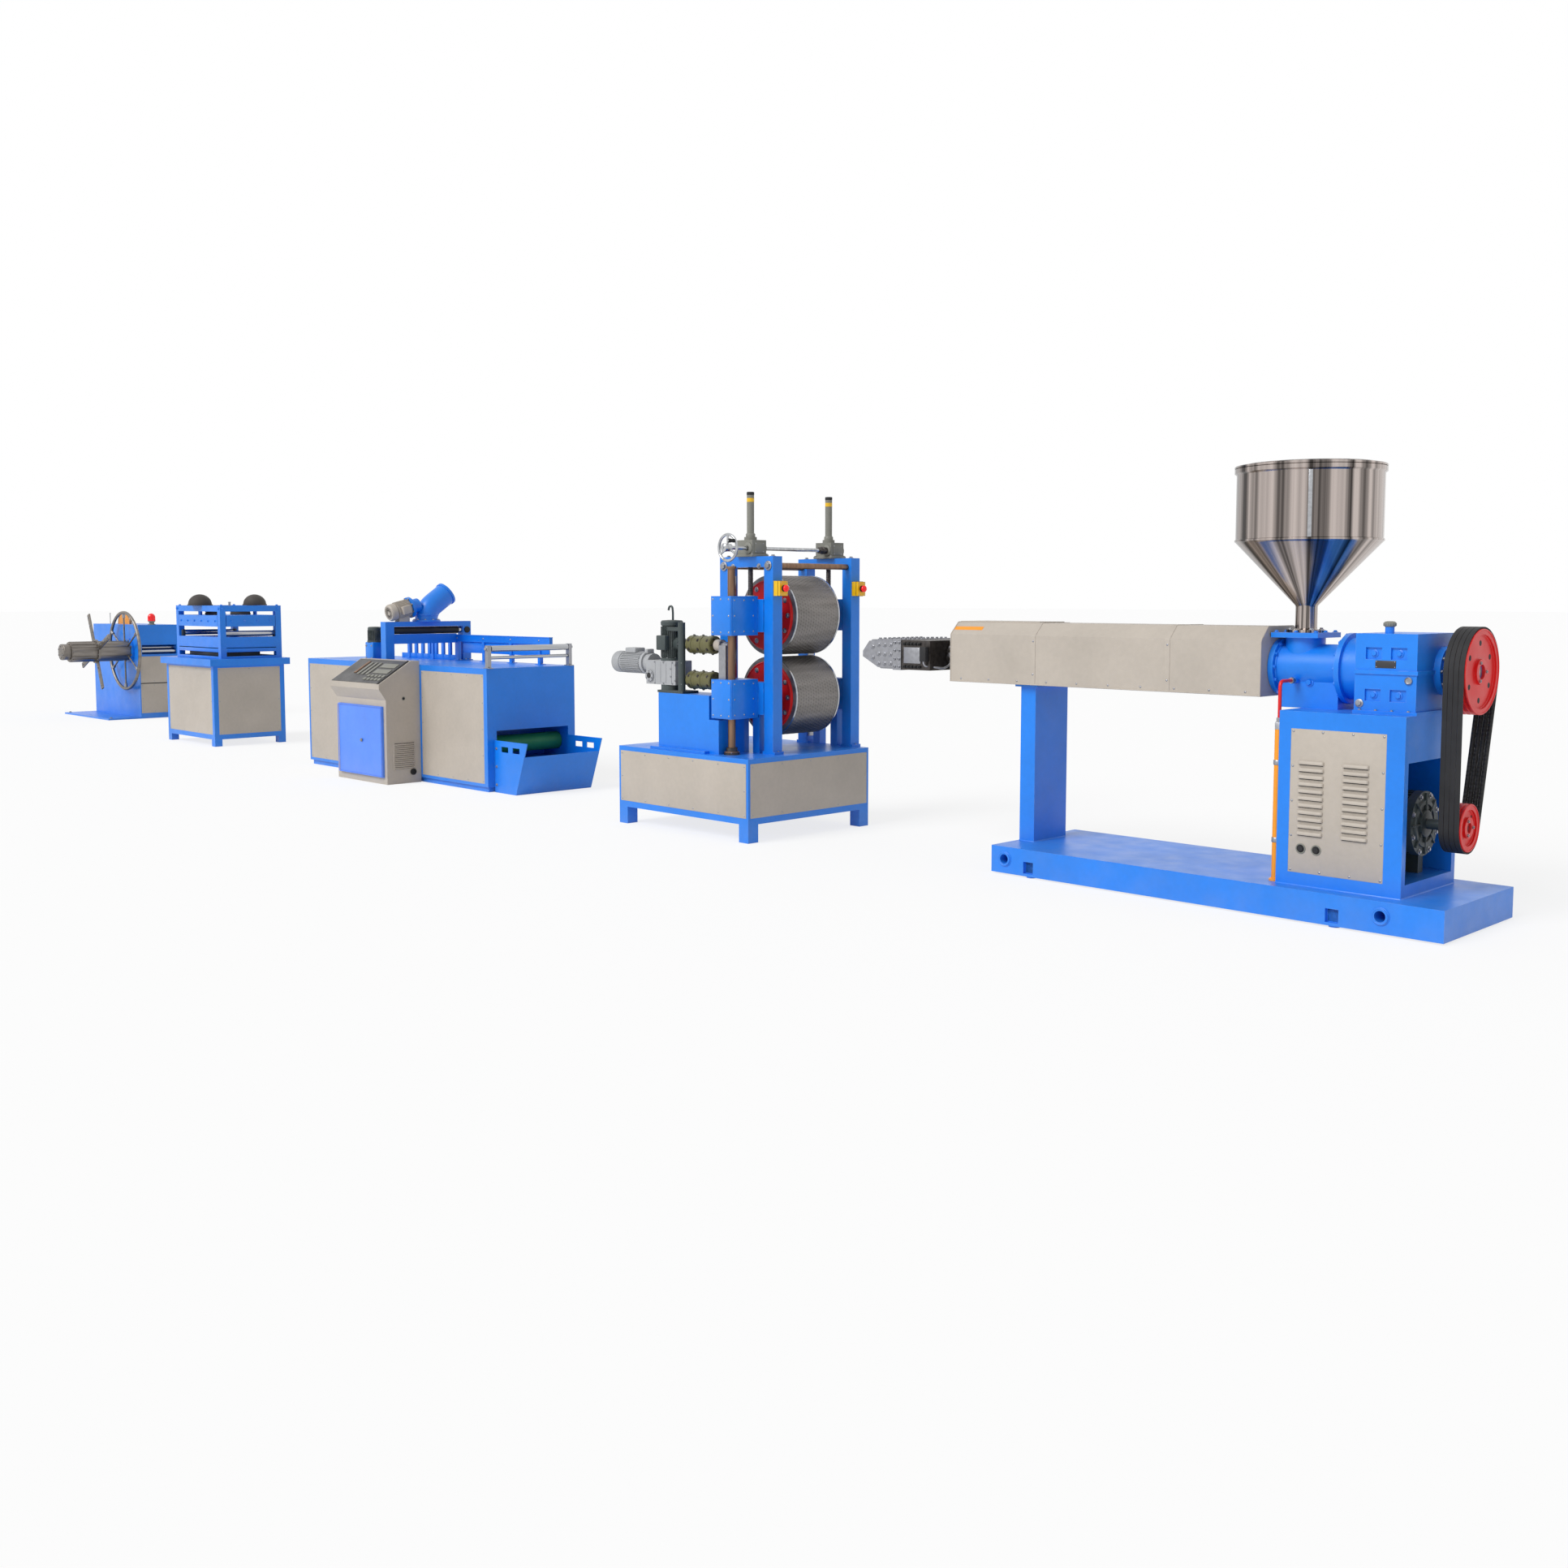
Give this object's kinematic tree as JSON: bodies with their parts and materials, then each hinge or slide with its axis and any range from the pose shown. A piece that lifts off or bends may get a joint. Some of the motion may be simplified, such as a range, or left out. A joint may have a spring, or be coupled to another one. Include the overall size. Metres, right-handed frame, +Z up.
{
  "type": "drainage board production line",
  "caption": "Row of blue and cream floor machines that extrude, emboss, pull, press and wind a narrow plastic drainage board, with hopper, forming drums, console and reel.",
  "frame": {"origin": "centre of the whole row's footprint, on the floor", "axes": "+X along the row towards the extruder's drive end, +Z up, -Y the operator's side with the console"},
  "size_m": [17.828, 1.78, 2.155],
  "materials": {
    "blue_paint": "semi-gloss bright blue machine paint",
    "light_blue_paint": "semi-gloss lighter blue paint",
    "cream_paint": "satin warm cream-grey powder coat",
    "red_paint": "satin red machine paint",
    "orange_paint": "orange painted pipe",
    "dark_paint": "dark grey motor paint",
    "stainless": "polished stainless sheet",
    "bare_steel": "machined steel",
    "dark_steel": "blued and heat-stained steel",
    "brown_steel": "oiled round bar",
    "drum_metal": "dimpled forming drum",
    "grey_casting": "grey painted casting",
    "chrome": "chromed handwheel and shaft",
    "bright_roller": "bright roller",
    "reel_steel": "worn bare steel",
    "black_rubber": "black belt rubber",
    "dark_rubber": "dark rubber and enamel",
    "green_rubber": "green rubber covering",
    "black_panel": "black control panel",
    "yellow_plastic": "yellow plastic box",
    "red_lens": "red plastic of lamp lens and stop knobs",
    "cast_aluminium": "silver-grey motor and gear case",
    "olive_paint": "olive coupling guards"
  },
  "bodies": {
    "root": {"extruder_base": "blue_paint", "barrel_support": "blue_paint", "barrel_cover": "cream_paint", "barrel": "dark_steel", "die_manifold": "dark_steel", "die_head": "bare_steel", "feed_throat": "blue_paint", "hopper": "stainless", "hopper_lid": "stainless", "gearbox": "blue_paint", "drive_cabinet": "blue_paint", "louvre_panel": "cream_paint", "main_motor": "dark_paint", "drive_belts": "black_rubber", "cooling_pipes": "orange_paint", "stand_cabinet": "blue_paint", "stand_panels": "cream_paint", "side_frames": "blue_paint", "guide_column": "brown_steel", "lower_bearing_boxes": "blue_paint", "screw_jacks": "grey_casting", "drive_pedestal": "blue_paint", "upright_motor": "dark_paint", "level_motor": "cast_aluminium", "shaft_couplings": "olive_paint", "drive_shaft": "bare_steel", "stop_stations": "yellow_plastic", "stop_knobs": "red_lens", "haul_off_frame": "blue_paint", "haul_off_panels": "cream_paint", "catch_tray": "blue_paint", "console_body": "cream_paint", "console_desk": "black_panel", "portal_frame": "blue_paint", "blower_duct": "blue_paint", "blower_motor": "cream_paint", "back_rail": "blue_paint", "inlet_stand": "bare_steel", "press_table": "blue_paint", "press_panels": "cream_paint", "press_frame": "blue_paint", "press_cylinders": "dark_rubber", "winder_body": "blue_paint", "winder_panels": "cream_paint", "winder_rollers": "bright_roller", "beacon": "red_lens"},
    "gearbox_sheave": {"gearbox_pulley": "red_paint"},
    "motor_sheave": {"motor_pulley": "red_paint"},
    "lower_roll": {"lower_drum": "drum_metal", "lower_drum_discs": "red_paint"},
    "upper_carriage": {"upper_bearing_boxes": "blue_paint", "jack_screws": "dark_steel"},
    "upper_roll": {"upper_drum": "drum_metal", "upper_drum_discs": "red_paint"},
    "lift_wheel": {"handwheel": "chrome"},
    "haul_feed_roller": {"feed_roller": "green_rubber"},
    "haul_inlet_roller": {"inlet_roller": "bright_roller"},
    "door": {"console_door": "light_blue_paint"},
    "press_head": {"upper_platen": "blue_paint"},
    "winding_reel": {"reel": "reel_steel"}
  },
  "joints": [
    {"name": "gearbox_pulley_spin", "type": "hinge", "parent": "root", "child": "gearbox_sheave", "pos_m": [8.8, 0.04, 1.165], "axis": [1, 0, 0], "continuous": true},
    {"name": "motor_pulley_spin", "type": "hinge", "parent": "root", "child": "motor_sheave", "pos_m": [8.8, -0.04, 0.463], "axis": [1, 0, 0], "continuous": true},
    {"name": "lower_drum_spin", "type": "hinge", "parent": "root", "child": "lower_roll", "pos_m": [4.5, -0.05, 0.866], "axis": [0, 1, 0], "continuous": true},
    {"name": "carriage_lift", "type": "slide", "parent": "root", "child": "upper_carriage", "axis": [0, 0, 1], "range_m": [0, 0.06]},
    {"name": "upper_drum_spin", "type": "hinge", "parent": "upper_carriage", "child": "upper_roll", "pos_m": [4.5, -0.05, 1.386], "axis": [0, 1, 0], "continuous": true},
    {"name": "handwheel_turn", "type": "hinge", "parent": "root", "child": "lift_wheel", "pos_m": [4.543, -0.638, 1.808], "axis": [0, -1, 0], "range_deg": [0, 3600]},
    {"name": "feed_roller_spin", "type": "hinge", "parent": "root", "child": "haul_feed_roller", "pos_m": [1.514, -0.1, 0.352], "axis": [0, 1, 0], "continuous": true},
    {"name": "inlet_roller_spin", "type": "hinge", "parent": "root", "child": "haul_inlet_roller", "pos_m": [1.64, -0.1, 1.106], "axis": [0, 1, 0], "continuous": true},
    {"name": "console_door_hinge", "type": "hinge", "parent": "root", "child": "door", "pos_m": [-0.053, -0.839, 0.34], "axis": [0, 0, -1], "range_deg": [0, 110]},
    {"name": "press_lift", "type": "slide", "parent": "root", "child": "press_head", "axis": [0, 0, 1], "range_m": [0, 0.03]},
    {"name": "reel_spin", "type": "hinge", "parent": "root", "child": "winding_reel", "pos_m": [-7.72, 0, 0.838], "axis": [0, 1, 0], "continuous": true}
  ],
  "couplings": [
    {"joint": "motor_pulley_spin", "follows": "gearbox_pulley_spin", "ratio": 1.7727},
    {"joint": "upper_drum_spin", "follows": "lower_drum_spin", "ratio": -1},
    {"joint": "handwheel_turn", "follows": "carriage_lift", "rad_per_m": 1047.2}
  ]
}
